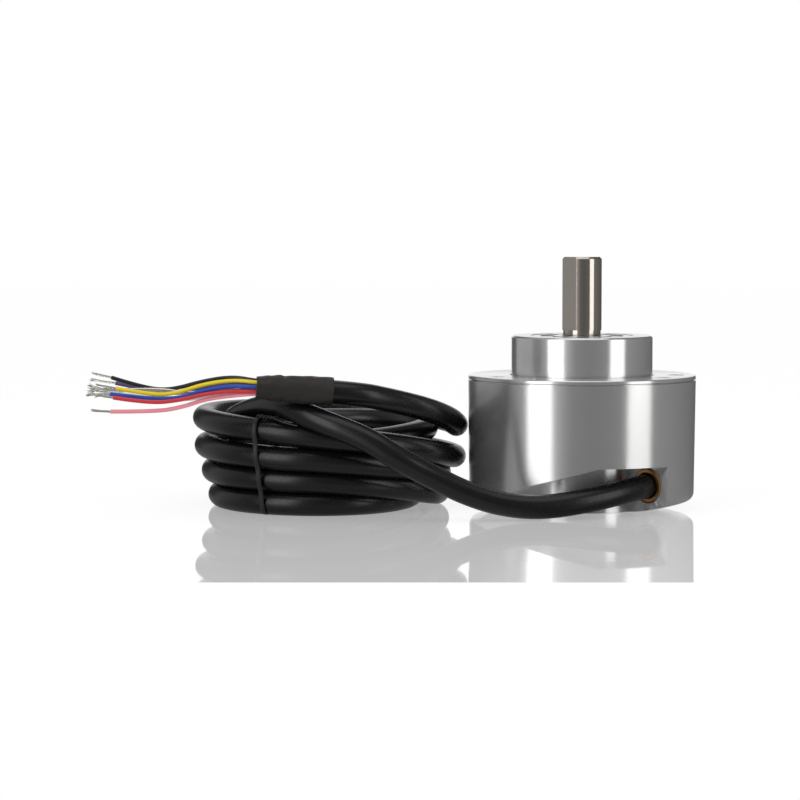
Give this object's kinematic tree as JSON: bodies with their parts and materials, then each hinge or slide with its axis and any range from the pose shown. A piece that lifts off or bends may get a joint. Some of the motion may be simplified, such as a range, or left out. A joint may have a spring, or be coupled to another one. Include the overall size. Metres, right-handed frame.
{
  "type": "incremental rotary encoder",
  "caption": "Round face-mount rotary encoder with a stepped boss, a flatted solid shaft and a coiled cable with loose coloured leads.",
  "frame": {"origin": "centre of the housing's underside, on the shaft axis, on the surface it stands on", "axes": "+Z along the shaft, out of the flange; -Y towards the side with the cable channel; the coil lies towards -X"},
  "size_m": [0.1525, 0.0781, 0.064],
  "materials": {
    "turned_aluminium": "fine turned, satin",
    "cover_aluminium": "fine turned, satin",
    "shaft_steel": "ground",
    "bearing_steel": "ground",
    "shield_steel": "pressed",
    "ball_steel": "polished",
    "cage_polymer": "moulded",
    "spring_steel": "blackened",
    "screw_steel": "zinc plated",
    "disc_metal": "etched sheet",
    "black_rubber": "matte",
    "optic_glass": "clear",
    "chip_black": "moulded",
    "board_green": "solder mask",
    "capacitor_can": "satin",
    "header_ivory": "moulded",
    "inner_lead_grey": "smooth",
    "brass_plain": "plain",
    "ferrule_brass": "satin",
    "cable_jacket": "satin sheath",
    "heat_shrink": "dull shrink tube",
    "bare_copper_tinned": "tinned strands",
    "tie_black": "coated wire",
    "lead_yellow": "smooth insulation",
    "lead_black": "smooth insulation",
    "lead_violet": "smooth insulation",
    "lead_blue": "smooth insulation",
    "lead_red": "smooth insulation",
    "lead_pink": "smooth insulation",
    "lead_brown": "smooth insulation",
    "lead_white": "smooth insulation"
  },
  "bodies": {
    "housing": {"bare_conductors": "bare_copper_tinned", "board_capacitors": "capacitor_can", "board_chips": "chip_black", "board_header": "header_ivory", "board_screws": "screw_steel", "bore_circlip": "spring_steel", "cable_coil": "cable_jacket", "cable_crimp": "brass_plain", "cable_ferrule": "ferrule_brass", "cable_lead_out": "cable_jacket", "cable_tail": "cable_jacket", "circuit_board": "board_green", "coil_tie": "tie_black", "cover": "cover_aluminium", "cover_seal": "black_rubber", "flange_body": "turned_aluminium", "front_outer_ring": "bearing_steel", "front_shields": "shield_steel", "heat_shrink_sleeve": "heat_shrink", "inner_leads": "inner_lead_grey", "lead_black": "lead_black", "lead_blue": "lead_blue", "lead_brown": "lead_brown", "lead_pink": "lead_pink", "lead_red": "lead_red", "lead_violet": "lead_violet", "lead_white": "lead_white", "lead_yellow": "lead_yellow", "led_holder": "chip_black", "led_holder_screws": "screw_steel", "light_source": "optic_glass", "mask": "optic_glass", "optical_sensor": "chip_black", "rear_outer_ring": "bearing_steel", "rear_shields": "shield_steel", "shield_pigtail": "bare_copper_tinned", "spring_washer": "spring_steel", "standoffs": "brass_plain"},
    "rotor": {"shaft": "shaft_steel", "front_inner_ring": "bearing_steel", "rear_inner_ring": "bearing_steel", "inner_spacer": "bearing_steel", "shaft_circlip": "spring_steel", "disc_hub": "turned_aluminium", "code_disc": "disc_metal", "disc_clamp_ring": "turned_aluminium"},
    "front_ball_set": {"front_balls": "ball_steel", "front_cage": "cage_polymer"},
    "rear_ball_set": {"rear_balls": "ball_steel", "rear_cage": "cage_polymer"}
  },
  "joints": [
    {"name": "shaft_spin", "type": "hinge", "parent": "housing", "child": "rotor", "pos_m": [0, 0, 0.04], "axis": [0, 0, 1], "continuous": true},
    {"name": "front_balls_spin", "type": "hinge", "parent": "housing", "child": "front_ball_set", "pos_m": [0, 0, 0.0399], "axis": [0, 0, 1], "continuous": true},
    {"name": "rear_balls_spin", "type": "hinge", "parent": "housing", "child": "rear_ball_set", "pos_m": [0, 0, 0.0282], "axis": [0, 0, 1], "continuous": true}
  ],
  "couplings": [
    {"joint": "front_balls_spin", "follows": "shaft_spin", "ratio": 0.36772},
    {"joint": "rear_balls_spin", "follows": "shaft_spin", "ratio": 0.40078}
  ]
}
